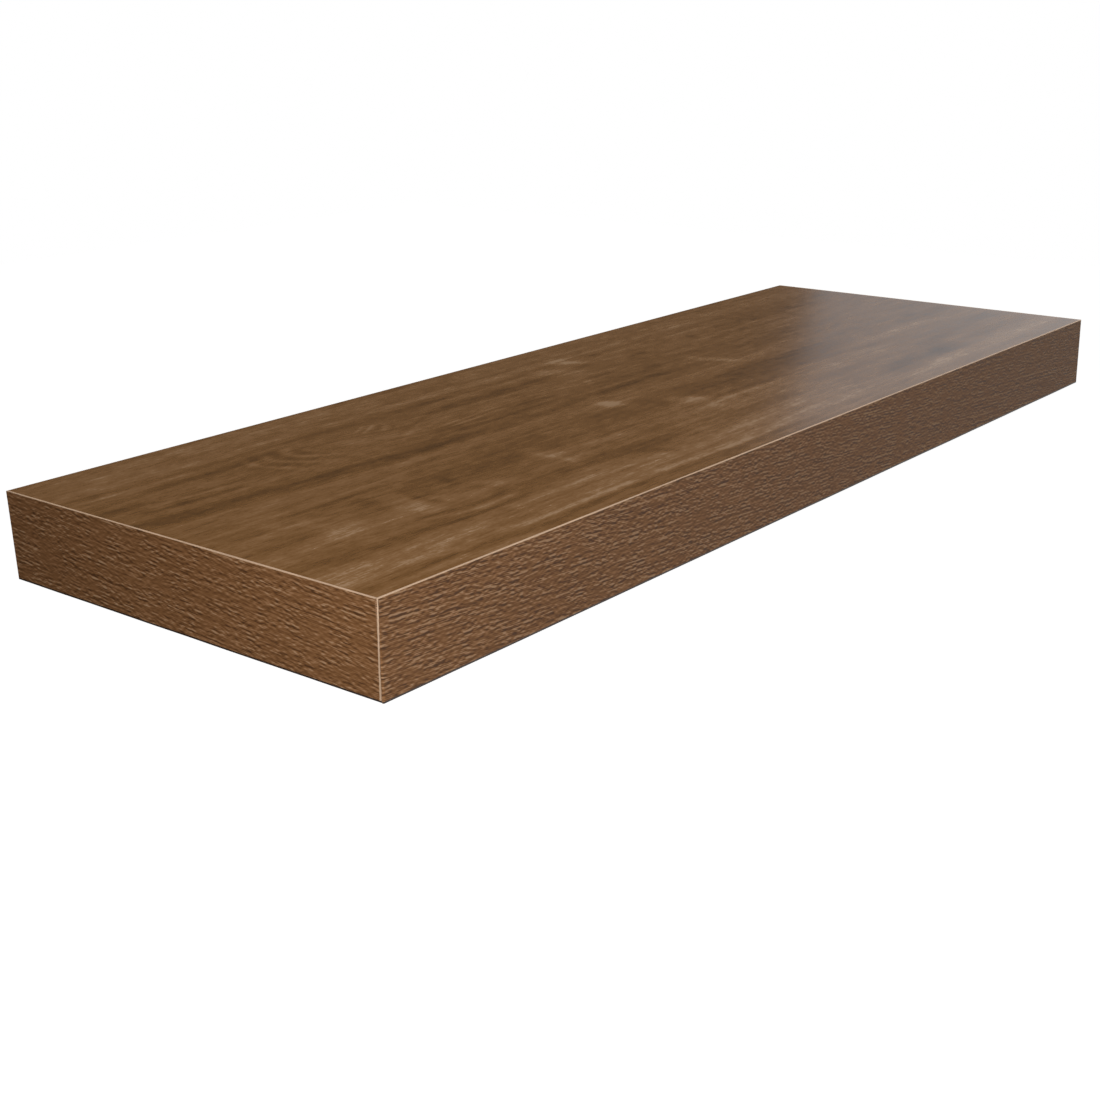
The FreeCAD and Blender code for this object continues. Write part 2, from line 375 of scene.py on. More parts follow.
    def blend(self, share: Socket, first: object, second: object) -> Socket:
        """Two colours mixed by a share of the second."""
        first, second = ((*c, 1.0) if isinstance(c, tuple) else c for c in (first, second))
        return self.add("Mix", {0: share, 6: first, 7: second}, data_type="RGBA").outputs[2]

    def bump(self, height: Socket, depth: float, strength: float) -> Socket:
        """A normal bent by a height from 0 to 1 that stands for a depth in metres."""
        return self.add("Bump", {"Height": height, "Distance": depth, "Strength": strength}).outputs[0]

    def seen(self) -> Socket:
        """1 for the camera, reflections and what shows through glass, 0 for light that falls on things."""
        rays = self.add("LightPath").outputs
        mirrored = self.math("MAXIMUM", rays["Is Glossy Ray"], rays["Is Transmission Ray"])
        return self.math("MAXIMUM", rays["Is Camera Ray"], mirrored)

    def glow(self, colour: object, strength: object) -> Socket:
        """A surface that gives off light."""
        return self.add("Emission", {"Color": colour, "Strength": strength}).outputs[0]

    def output(self, surface: Socket, kind: str = "OutputMaterial") -> bpy.types.Material | bpy.types.World:
        """Ends the tree in a surface, and gives its material or world."""
        self.add(kind, {"Surface": surface})
        return self.owner

    def finish(self, colour: Socket, roughness: object, normal: Socket,
               **sockets: float) -> bpy.types.Material:
        """Ends the tree in a Principled surface.

        Args:
            colour: base colour.
            roughness: number or socket.
            normal: bent normal.
            **sockets: plain numbers for other sockets, with underscores for spaces.

        Returns:
            The material.
        """
        inputs = {"Base Color": colour, "Roughness": roughness, "Normal": normal}
        inputs.update({name.replace("_", " "): value for name, value in sockets.items()})
        return self.output(self.add("BsdfPrincipled", inputs).outputs[0])


class FigureSource(Enum):
    """Where a walnut decor finish reads its figure from."""

    CARRIED = "attributes on the piece"
    STRAIGHT = "straight grain along the object's X axis"


# Height in metres of a blotch in a print, which is the same all through its thin film.
FILM = 0.1


@dataclass(frozen=True)
class WalnutDecor:
    """Smooth satin walnut print of the top and the underside.

    Attributes:
        source: where the figure comes from.
        stops: colour of the print from its darkest to its palest tone.
        roughness: satin gloss of the melamine face.
        mean_tone: what the layers of noise add up to on average.
        mean_gloss: the same for the layers in the gloss.
    """

    source: FigureSource
    stops: tuple[tuple[float, Colour], ...] = (
        (0.00, (0.076, 0.0330, 0.0078)),
        (0.30, (0.132, 0.0595, 0.0162)),
        (0.50, (0.165, 0.0775, 0.0240)),
        (0.70, (0.200, 0.0995, 0.0375)),
        (0.85, (0.230, 0.1220, 0.0515)),
        (1.00, (0.308, 0.1880, 0.1020)),
    )
    roughness: float = 0.24
    mean_tone: float = 1.41
    mean_gloss: float = 0.13

    def material(self) -> bpy.types.Material:
        """Grain tone from layered streaks along the figure, plus short pores, through the colour stops."""
        bench = Bench("walnut_decor_" + self.source.name.lower())
        if self.source is FigureSource.CARRIED:
            place = bench.carried("grain_place", "Vector")
            figure = bench.carried("figure_tone")
        else:
            place = bench.object_place()
            figure = bench.remap(bench.noise(place, (0.40, 0.011, FILM), 3.0), 0.32, 0.68, -0.8, 0.8)
        broad = bench.noise(place, (0.30, 0.016, FILM))
        ribbons = bench.noise(place, (0.060, 0.0036, FILM), 3.0, 0.55)
        fibres = bench.noise(place, (0.011, 0.0012, FILM), 3.0, 0.65)
        mottle = bench.noise(place, (0.012, 0.0065, FILM), 3.0, 0.65)
        specks = bench.noise(place, (0.0024, 0.0014, FILM), 1.0)
        pores = bench.remap(bench.noise(place, (0.0050, 0.00055, FILM), 1.0), 0.62, 0.74, 0.0, 1.0)
        tone = bench.total([(figure, 0.46), (broad, 0.46), (ribbons, 0.62), (fibres, 0.72), (mottle, 0.70),
                            (specks, 0.34), (pores, -0.12)], start=0.5 - self.mean_tone)
        gloss = bench.total([(fibres, 0.06), (mottle, 0.12), (broad, 0.08)],
                            start=self.roughness - self.mean_gloss)
        return bench.finish(bench.ramp(tone, self.stops), gloss, bench.bump(fibres, 0.00001, 0.5),
                            Specular_IOR_Level=0.45)


@dataclass(frozen=True)
class EmbossedDecor:
    """Coarse walnut print of the edge bands, pressed with short pores along the band, with painted shade and
    highlight.

    Attributes:
        contrast: strength of the ridges.
        row_turn: degrees between the nicks and the long rows that they lie in.
        stops: colour from the floor of a pore to the top of a ridge.
        roughness: dull gloss of the pressed film.
        row_lag: distance in metres from a ridge down to the groove under it, which the tone darkens as
            painted shade.
        groove: depth of a groove against its ridge, in the bump and as painted shade in the tone.
        liveliness: strength of the ridges in the calmest and in the busiest patches.
        depth: height in metres from the grooves to the ridges.
    """

    contrast: float
    row_turn: float
    stops: tuple[tuple[float, Colour], ...] = (
        (0.00, (0.060, 0.0240, 0.0075)),
        (0.30, (0.128, 0.0550, 0.0185)),
        (0.50, (0.176, 0.0790, 0.0290)),
        (0.70, (0.245, 0.1200, 0.0520)),
        (1.00, (0.350, 0.2100, 0.1150)),
    )
    roughness: float = 0.60
    row_lag: float = 0.0013
    groove: float = 0.6
    liveliness: Pair = (0.55, 1.60)
    depth: float = 0.00042

    def material(self) -> bpy.types.Material:
        """Tone from the carried emboss, and from ridges in long rows, dashes and short nicks that are calm in
        some patches and busy in others, through the colour stops."""
        bench = Bench("walnut_band")
        place = bench.carried("grain_place", "Vector")
        emboss = bench.carried("emboss")
        streaks = bench.noise(place, (0.090, 0.0040, FILM))
        swells = bench.noise(place, (0.030, 0.0022, FILM), 1.0, turn=self.row_turn)
        rows = bench.ridges(place, (0.080, 0.00082, FILM), self.row_lag, self.groove, self.row_turn)
        dashes = bench.ridges(place, (0.0085, 0.00080, FILM), self.row_lag, self.groove, self.row_turn)
        nicks = bench.ridges(place, (0.0032, 0.00072, FILM), self.row_lag, self.groove)
        patches = bench.noise(place, (0.0160, 0.0070, FILM), 1.0)
        lively = bench.remap(patches, 0.30, 0.70, *self.liveliness)
        # The relief sets the bump and the tone: partly the print's pores, partly painted shade under each
        # ridge as if lit from above.
        relief = bench.total([(rows, 0.30), (dashes, 0.36), (nicks, 0.39)], start=-0.525)
        relief = bench.math("MULTIPLY", relief, bench.math("MULTIPLY", lively, self.contrast))
        # Painted highlight: the crests of the ridges made paler, as if lit from above.
        painted_crest_highlight = bench.remap(relief, 0.09, 0.20, 0.0, 1.0)
        tone = bench.total([(emboss, 0.10), (relief, 3.4), (painted_crest_highlight, 0.12), (streaks, 0.14), (swells, 0.24)],
                           start=0.235)
        gloss = bench.total([(relief, 0.20)], start=self.roughness)
        return bench.finish(bench.ramp(tone, self.stops), gloss, bench.bump(relief, self.depth, 0.9),
                            Specular_IOR_Level=0.26)


@dataclass(frozen=True)
class BandCore:
    """Plain coloured body of an edge band, bare where its bevels are cut through the print; also the painted
    shade over the foot.

    Attributes:
        name: name of the material.
        colour: colour of the cut face, or near-black for the painted shade over the foot.
    """

    name: str
    colour: Colour

    def material(self) -> bpy.types.Material:
        """The colour, clouded a little by cutter marks and rubbed-in dirt."""
        bench = Bench(self.name)
        place = bench.object_place()
        cuts = bench.noise(place, (0.0012,) * 3)
        cloud = bench.noise(place, (0.018,) * 3)
        share = bench.total([(cuts, 0.5), (cloud, 0.8)], start=-0.15)
        colour = bench.blend(share, scaled(self.colour, 0.72), scaled(self.colour, 1.15))
        return bench.finish(colour, 0.45, bench.bump(cuts, 0.00004, 0.5), Specular_IOR_Level=0.5)


@dataclass(frozen=True)
class ZincPlate:
    """Bright zinc plating with a satin, faintly cloudy face.

    Attributes:
        name: name of the material.
        colour: colour of the plating.
        roughness: mean gloss.
        scale: depth in metres of the scale under the plating.
    """

    name: str
    colour: Colour
    roughness: float
    scale: float = 0.00002

    def material(self) -> bpy.types.Material:
        """Crystal patches and drawing lines over a metal base."""
        bench = Bench(self.name)
        place = bench.object_place()
        spangle, _ = bench.chips(place, (0.007,) * 3)
        lines = bench.noise(place, (0.05, 0.0006, 0.0006))
        cloud = bench.noise(place, (0.02,) * 3, 3.0)
        tone = bench.total([(spangle, 0.10), (lines, 0.16), (cloud, 0.30)], start=0.22)
        gloss = bench.total([(cloud, 0.16), (lines, 0.08)], start=self.roughness - 0.1)
        return bench.finish(bench.shades(tone, self.colour, 0.62, 1.18), gloss,
                            bench.bump(lines, self.scale, 0.6), Metallic=1.0)


@dataclass(frozen=True)
class ParticleBoard:
    """Raw particle board: flat wood chips of several tones, glued at random."""

    pale: Colour = (0.62, 0.44, 0.26)
    tan: Colour = (0.46, 0.30, 0.16)
    dark: Colour = (0.24, 0.14, 0.07)

    def material(self) -> bpy.types.Material:
        """Two layers of warped cells, one coarse and one fine, each with a tone of its own."""
        bench = Bench("particle_board")
        place = bench.object_place()
        ripple = bench.add("TexNoise", {"Vector": place, "Scale": 300.0}).outputs["Color"]
        warped = bench.vector("ADD", place, bench.vector("MULTIPLY", ripple, (0.003,) * 3))
        coarse, distance = bench.chips(warped, (0.0065, 0.0050, 0.0018))
        fine, _ = bench.chips(warped, (0.0022, 0.0026, 0.0010), 31.0, channel=1)
        fibre = bench.noise(place, (0.004, 0.0005, 0.0005))
        tone = bench.total([(coarse, 0.45), (fine, 0.35), (fibre, 0.30)], start=-0.05)
        colour = bench.ramp(tone, ((0.0, self.dark), (0.3, self.tan), (0.75, self.pale), (1.0, self.pale)))
        colour = bench.blend(bench.remap(distance, 0.55, 0.85, 0.0, 0.55), colour, self.dark)
        height = bench.remap(distance, 0.35, 0.75, 1.0, 0.0)
        return bench.finish(colour, 0.85, bench.bump(height, 0.0003, 0.7), Specular_IOR_Level=0.2)


@dataclass(frozen=True)
class FeltedFibre:
    """A sheet of felted fibres.

    Attributes:
        name: name of the material.
        colour: its middle colour.
        felt_size, felt_roughness, felt_weight: blotches of the fine fibres and their share of the tone.
        broad_size, broad_detail, broad_weight: the same for the broader marks over them.
        shades: its darkest and palest tone, against the middle colour.
        roughness: mean gloss.
        relief: depth in metres of the fibres.
        specular: strength of its gloss.
    """

    name: str
    colour: Colour
    felt_size: Triple
    felt_roughness: float
    felt_weight: float
    broad_size: Triple
    broad_detail: float
    broad_weight: float
    shades: Pair
    roughness: float
    relief: float
    specular: float

    def material(self) -> bpy.types.Material:
        """Fine fibres under broader marks, as shades of the colour."""
        bench = Bench(self.name)
        place = bench.object_place()
        felt = bench.noise(place, self.felt_size, 4.0, self.felt_roughness)
        broad = bench.noise(place, self.broad_size, self.broad_detail)
        tone = bench.total([(felt, self.felt_weight), (broad, self.broad_weight)], start=-0.05)
        return bench.finish(bench.shades(tone, self.colour, *self.shades), self.roughness,
                            bench.bump(felt, self.relief, 0.6), Specular_IOR_Level=self.specular)


FIBREBOARD = FeltedFibre("fibreboard", (0.36, 0.235, 0.13), (0.0014, 0.0014, 0.0005), 0.65, 0.7,
                         (0.03, 0.03, 0.004), 2.0, 0.4, (0.55, 1.35), 0.9, 0.00008, 0.15)
KRAFT_PAPER = FeltedFibre("kraft_paper", (0.47, 0.31, 0.17), (0.003, 0.003, 0.0007), 0.6, 0.8,
                          (0.0012, 0.0012, 0.04), 1.0, 0.3, (0.6, 1.3), 0.85, 0.00006, 0.2)


@dataclass(frozen=True)
class TurnedBrass:
    """Brass turned on a lathe, a little tarnished."""

    colour: Colour = (0.74, 0.52, 0.22)

    def material(self) -> bpy.types.Material:
        """Tool rings across the height, and tarnish in clouds."""
        bench = Bench("turned_brass")
        place = bench.object_place()
        rings = bench.noise(place, (0.02, 0.02, 0.00025), 1.0)
        tarnish = bench.noise(place, (0.004,) * 3, 3.0)
        share = bench.remap(tarnish, 0.45, 0.75, 0.0, 0.6)
        colour = bench.blend(share, self.colour, scaled(self.colour, 0.45))
        gloss = bench.total([(tarnish, 0.25), (rings, 0.10)], start=0.12)
        return bench.finish(colour, gloss, bench.bump(rings, 0.00003, 0.6), Metallic=1.0)


@dataclass(frozen=True)
class BlackOxide:
    """Black oxide over machined steel, worn paler at high spots."""

    colour: Colour = (0.022, 0.022, 0.025)
    worn: Colour = (0.16, 0.155, 0.15)

    def material(self) -> bpy.types.Material:
        """Fine pitting with a little bare steel."""
        bench = Bench("black_oxide")
        place = bench.object_place()
        pits = bench.noise(place, (0.0006,) * 3, 3.0)
        wear = bench.remap(bench.noise(place, (0.002,) * 3, 3.0), 0.58, 0.8, 0.0, 0.7)
        gloss = bench.total([(pits, 0.3)], start=0.2)
        return bench.finish(bench.blend(wear, self.colour, self.worn), gloss,
                            bench.bump(pits, 0.00002, 0.6), Metallic=0.85)


# ---------------------------------------------------------------- the walnut top

# Where a streak begins to show and where it is full, as shares of its length from each end.
STREAK_FADE = (-0.02, 0.2)


@dataclass(frozen=True)
class Streak:
    """A soft stripe of the print along the grain, in mm from the left end and from the back edge.

    Attributes:
        x_low, y_low: where its middle line starts.
        x_high, y_high: where it ends.
        width: full width.
        tone: how much paler (above 0) or darker (below 0) it is.
        bow: how far the middle of its line bends to the front.
    """

    x_low: float
    y_low: float
    x_high: float
    y_high: float
    width: float
    tone: float
    bow: float = 0.0

    def shade(self, x: Array, y: Array) -> Array:
        """Tone times a flat-topped bell across the stripe and a smooth fade at each end."""
        share = (x - self.x_low) / (self.x_high - self.x_low)
        middle = self.y_low + (self.y_high - self.y_low) * share + self.bow * 4 * share * (1 - share)
        across = np.exp(-np.abs((y - middle) / (self.width / 2)) ** 3)
        return self.tone * across * smoothstep(*STREAK_FADE, share) * smoothstep(*STREAK_FADE, 1 - share)


@dataclass(frozen=True)
class Fleck:
    """A patch across the grain, in mm: a bell that is long one way and short the other.

    Attributes:
        x, y: its middle.
        length: full length across the grain.
        width: full width along it.
        tone: how much paler or darker it is.
        lean: how far its front end lies to the right of its back end, as a share of its length.
    """

    x: float
    y: float
    length: float
    width: float
    tone: float
    lean: float = 0.0

    def shade(self, x: Array, y: Array) -> Array:
        """Tone times exp of minus the squared distance in half lengths and half widths, to the power 1.5."""
        v = (y - self.y) / (self.length / 2)
        u = (x - self.x - self.lean * (y - self.y)) / (self.width / 2)
        return self.tone * np.exp(-(u * u + v * v) ** 1.5)


@dataclass(frozen=True)
class RingFigure:
    """Nested oval rings where the saw cut a growth cone, open to one side, in mm.

    Attributes:
        x, y: middle of the ovals.
        half_length, half_width: size of the outermost oval.
        rings: how many dark rings there are, with a half where the outermost ring is pale.
        tone: depth of their tone.
        swell: how far the grain around is pushed aside.
        wobble: how far the ovals stray from an ellipse, as a share of their size.
        outer_fade: where the rings fade out and where they are full, as shares of the outermost oval.
        right_fade: the same, in half lengths to the right of the middle.
        back_fade: the same, in half widths to the front of the middle, on the back side.
        front_fade: the same on the front side.
        paling: how much weaker the outermost ring is than the innermost.
        sharpness: power that narrows the pale rings.
        dark_share: how far the tone drops between them, against its rise on them.
    """

    x: float
    y: float
    half_length: float
    half_width: float
    rings: float
    tone: float
    swell: float
    wobble: float = 0.04
    outer_fade: Pair = (1.22, 1.04)
    right_fade: Pair = (0.03, -0.28)
    back_fade: Pair = (-0.46, -0.22)
    front_fade: Pair = (0.72, 0.40)
    paling: float = 0.35
    sharpness: float = 1.6
    dark_share: float = 0.75

    def oval(self, x: Array, y: Array) -> Array:
        """Distance from the middle as a share of the outermost oval, with a slow wobble by angle."""
        u = (x - self.x) / self.half_length
        v = (y - self.y) / self.half_width
        return np.sqrt(u * u + v * v) * (1.0 + self.wobble * np.sin(3.0 * np.arctan2(v, u) + 0.6))

    def shade(self, x: Array, y: Array) -> Array:
        """Tone times a sharpened cosine of the oval distance, with narrow pale rings, which fades outwards,
        to the right, to the back and to the front."""
        r = self.oval(x, y)
        right = smoothstep(*self.right_fade, (x - self.x) / self.half_length)
        v = (y - self.y) / self.half_width
        fade = (smoothstep(*self.outer_fade, r) * smoothstep(*self.back_fade, v)
                * smoothstep(*self.front_fade, v))
        pale = (0.5 - 0.5 * np.cos(2.0 * math.pi * self.rings * r)) ** self.sharpness
        return self.tone * (1.0 - self.paling * r) * (2.0 * pale - self.dark_share) * right * fade

    def push(self, x: Array, y: Array) -> Array:
        """How far the grain is moved across: the swell times a bell of the oval distance."""
        return self.swell * np.exp(-self.oval(x, y) ** 2)


# The top's figure, listed mark by mark. Each row holds a streak's values in their order.
STREAK_ROWS = (
    (-60, 36, 300, 35, 10, 0.30, 3), (200, 36, 640, 33, 9, 0.36), (500, 33, 800, 34, 9, 0.18),
    (-20, 45, 200, 47, 5.5, -0.45, 3), (150, 49, 290, 47, 13, -0.32), (240, 46, 380, 49, 5, -0.40),
    (-10, 54, 120, 54, 2.5, 0.32), (35, 64, 150, 60, 9, -0.60), (-10, 80, 30, 79, 8, -0.55),
    (20, 89, 92, 94, 3.0, 0.65, -2), (10, 94, 85, 96, 3.4, -0.70, 1), (188, 65, 204, 57, 2.6, 0.80),
    (190, 70, 211, 58.5, 3.0, 1.05), (202, 75, 216, 64, 2.8, 0.65), (193, 67, 203, 61, 1.8, -0.45),
    (202, 70.5, 213, 61, 2.4, -0.60), (204, 79, 220, 68, 2.6, -0.40), (185, 104, 232, 78, 3.0, 0.35),
    (200, 88, 262, 64, 4, -0.35), (225, 95, 292, 92, 2.6, 0.85), (228, 100, 300, 97, 2.6, 0.85),
    (240, 67, 385, 66, 10, -0.75), (235, 76, 345, 76, 4, 0.35), (-40, 112, 240, 125, 17, -0.70),
    (160, 126, 320, 124, 11, -0.35), (210, 101, 335, 98, 15, -0.36), (190, 111, 330, 109, 5, -0.50),
    (340, 120, 440, 120, 10, -0.62), (-40, 132, 260, 138, 15, 0.34), (250, 136, 560, 146, 18, 0.20),
    (30, 151, 170, 151, 3, 0.45), (40, 156.5, 130, 156.5, 3, -0.65), (-20, 165, 40, 166, 8, -0.40),
    (120, 176, 260, 170, 30, -0.42), (270, 164, 420, 166, 22, -0.36), (380, 172, 600, 166, 34, -0.44),
    (420, 160, 560, 158, 9, -0.30), (-20, 191, 60, 191, 4, -0.50), (270, 188.5, 375, 189, 4, -0.45),
    (395, 189, 480, 189, 7, -0.35), (40, 198, 120, 202, 20, 0.34), (220, 197, 470, 196, 9, 0.40),
    (-30, 208, 70, 206, 8, 0.24), (-40, 222, 120, 228, 11, -0.55), (88, 212, 162, 214, 4.5, -0.64, 4),
    (98, 219.5, 160, 221, 4.0, 0.62, 4), (84, 228, 164, 227, 5, -0.62, 4), (-70, 214, 82, 214, 104, 0.22),
    (145, 219, 310, 225, 16, -0.74), (310, 229, 440, 226, 12, -0.50), (330, 217, 372, 217, 6, -0.45),
    (-40, 243, 140, 242, 12, 0.20), (120, 238, 260, 240, 6, 0.34), (100, 246, 200, 246, 2.6, -0.35),
    (260, 254, 430, 252, 4, -0.30), (90, 260, 220, 262, 4.5, 0.75), (210, 262, 330, 263, 4, 0.45),
    (240, 261, 600, 259, 12, 0.42), (340, 244, 420, 244, 3.5, 0.35), (-60, 267, 420, 268, 5.5, -0.62),
    (440, 206, 600, 200, 22, 0.34), (500, 247, 640, 234, 24, -0.78), (560, 62, 720, 64, 9, -0.48),
    (500, 114, 640, 110, 12, -0.40), (500, 50, 610, 52, 7, 0.34), (620, 214, 760, 212, 18, -0.44),
    (640, 236, 760, 238, 10, -0.50), (600, 222, 665, 221, 10, -0.35), (660, 168, 760, 166, 16, -0.50),
    (520, 188, 640, 191, 5, -0.30), (520, 257, 800, 255, 16, 0.50), (550, 181, 700, 179, 16, 0.42),
    (-80, 13, 900, 13, 30, 0.26), (250, 20, 330, 20, 16, -0.16), (-80, 254, 300, 252, 44, 0.12),
    (120, 250, 640, 248, 52, 0.34), (-60, 26, 420, 30, 66, 0.12), (-90, 262, 130, 260, 34, 0.30),
    (300, 225, 480, 225, 70, 0.32),
)

# The same for its flecks.
FLECK_ROWS = (
    (335, 145.5, 25, 17, 0.72, 0.25), (335, 145, 15, 9, 0.50, 0.25), (479, 127, 32, 14, 0.80, 0.35),
    (477, 110, 16, 13, 0.35), (371, 177, 26, 22, 0.90, 0.25), (410, 40, 28, 18, 0.75, 0.3),
    (415, 51, 16, 10, 0.45, 0.3), (384, 64, 34, 28, 0.55, 0.2), (368, 83, 9, 10, 0.50),
    (374, 95, 8, 9, 0.50), (328, 94, 10, 18, 0.35), (222, 193, 52, 17, 0.55), (218, 196, 40, 7, 0.35),
    (166, 203, 16, 16, 0.40), (109, 192, 46, 20, 0.45), (134, 203, 20, 30, 0.38), (158, 203, 18, 12, 0.42),
    (120, 190, 44, 6, -0.45), (151, 188, 52, 7, -0.35), (94, 178, 34, 12, -0.40), (60, 190, 24, 30, 0.25),
    (197, 84, 12, 24, 0.32, -0.6), (236, 86, 6, 9, 0.60), (178, 80, 20, 16, 0.10),
    (457, 70, 26, 26, -0.45, -0.9), (408, 62, 6, 14, -0.50), (432, 103, 18, 26, -0.40, -0.8),
    (441, 46, 9, 12, -0.45), (467, 70, 9, 14, -0.40), (368, 203, 16, 30, 0.35), (390, 184, 12, 18, -0.30),
    (394, 195, 12, 16, 0.40), (267, 235, 18, 12, -0.55, 0.5), (258, 246, 20, 14, 0.35),
    (510, 203, 12, 16, 0.40), (592, 240, 16, 20, -0.45), (638, 178, 16, 16, 0.22), (678, 178, 8, 12, 0.12),
    (533, 68, 18, 8, -0.50), (528, 78, 12, 34, 0.35, -0.8), (620, 65, 12, 14, -0.45),
    (702, 158, 10, 16, -0.35), (72, 81, 8, 14, 0.40), (63, 80, 8, 8, -0.30), (40, 18, 60, 160, 0.16),
)


@dataclass
class WalnutFigure:
    """The printed figure of the top, in mm from the left end and from the back edge.

    Attributes:
        streaks, flecks, rings: its marks.
        drift_mm: how far the straightened grain drifts across.
        warp_share: how far the streaks wander, against that drift.
        fleck_warp: how far the flecks wander along, against the streaks across.
        mottle_tone: strength of the mottle between the marks.
        drift_reach_mm, warp_reach_mm, mottle_reach_mm: blur along and across of the noise behind each.
        noise_cell_mm: spacing of that noise's samples.
        seed: its seed.
    """

    streaks: tuple[Streak, ...] = tuple(Streak(*row) for row in STREAK_ROWS)
    flecks: tuple[Fleck, ...] = tuple(Fleck(*row) for row in FLECK_ROWS)
    rings: tuple[RingFigure, ...] = (RingFigure(155, 73, 47, 42, 3.6, 0.56, 9.0),)
    drift_mm: float = 1.7
    warp_share: float = 0.6
    fleck_warp: float = 2.0
    mottle_tone: float = 0.10
    drift_reach_mm: Pair = (70.0, 22.0)
    warp_reach_mm: Pair = (28.0, 9.0)
    mottle_reach_mm: Pair = (9.0, 2.0)
    noise_cell_mm: Pair = (1.5, 1.5)
    seed: int = 11

    def tone(self, x: Array, y: Array) -> Array:
        """Tone of the print: all streaks, flecks and rings added up on slightly wandering lines.

        Args:
            x: mm from the left end.
            y: mm from the back edge.

        Returns:
            Tone, 0 in the middle.
        """
        warp = noise_at(x, y, self.noise_cell_mm, self.warp_reach_mm, self.seed)
        warp = warp * self.drift_mm * self.warp_share
        shade = sum(mark.shade(x, y + warp) for mark in self.streaks + self.rings)
        shade = shade + sum(mark.shade(x + self.fleck_warp * warp, y) for mark in self.flecks)
        mottle = noise_at(x, y, self.noise_cell_mm, self.mottle_reach_mm, self.seed + 1)
        return shade + self.mottle_tone * mottle

    def place(self, x: Array, y: Array) -> Array:
        """Place in the straightened grain: across plus a slow drift and the push of the rings, in metres.

        Args:
            x: mm from the left end.
            y: mm from the back edge.

        Returns:
            Along, across and zero for each point.
        """
        drift = self.drift_mm * noise_at(x, y, self.noise_cell_mm, self.drift_reach_mm, self.seed + 2)
        across = y + drift + sum(ring.push(x, y) for ring in self.rings)
        return np.stack([x, across, np.zeros_like(x)], -1) * MM


@dataclass
class WalnutTop:
    """The top laminate as a closed slab whose face carries the walnut figure.

    Attributes:
        cell_mm: length and width of the face's cells.
    """

    cell_mm: Pair = (2.5, 1.3)

    def build(self) -> None:
        """Rings run round the slab: over the face from back to front, then back under it. They step in X."""
        low, high = (np.array(corner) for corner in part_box("top_laminate"))
        length, depth = (high - low)[:2]
        steps = [int(round(size / MM / cell)) for size, cell in zip((length, depth), self.cell_mm)]
        along = np.linspace(0.0, length, steps[0] + 1)[:, None]
        out = np.concatenate([np.linspace(0.0, depth, steps[1] + 1), [depth, 0.0]])[None, :]
        height = np.concatenate([np.full(steps[1] + 1, high[2]), [low[2], low[2]]])[None, :]
        x, y, z = np.broadcast_arrays(low[0] + along, high[1] - out, height)
        mesh = closed_mesh("walnut_top", Loft(np.stack([x, y, z], -1)))
        along_mm, across_mm = (grid.ravel() for grid in np.broadcast_arrays(along / MM, out / MM))
        figure = WalnutFigure()
        carry(mesh, "figure_tone", figure.tone(along_mm, across_mm))
        carry(mesh, "grain_place", figure.place(along_mm, across_mm))
        material = WalnutDecor(FigureSource.CARRIED).material()
        place_piece(mesh, [material], SHELF_BODY, "top_laminate")


# ---------------------------------------------------------------- the edge bands

class Axis(Enum):
    """The way that an edge band runs."""

    X = 0
    Y = 1


class BandFace(Enum):
    """Kinds of face on an edge band, as numbers of its materials."""

    PRINT = 0
    CORE = 1
    STAIN = 2
    # the dark line over the foot: painted shade
    PAINTED_FOOT_SHADE = 3


BARE_AND_SHADE_COLOURS = {
    BandFace.CORE: (0.52, 0.355, 0.235),
    BandFace.STAIN: (0.110, 0.048, 0.016),
    # Painted shade: a near-black line over the foot bevel, standing in for the shade under the band's lower
    # edge.
    BandFace.PAINTED_FOOT_SHADE: (0.020, 0.010, 0.006),
}


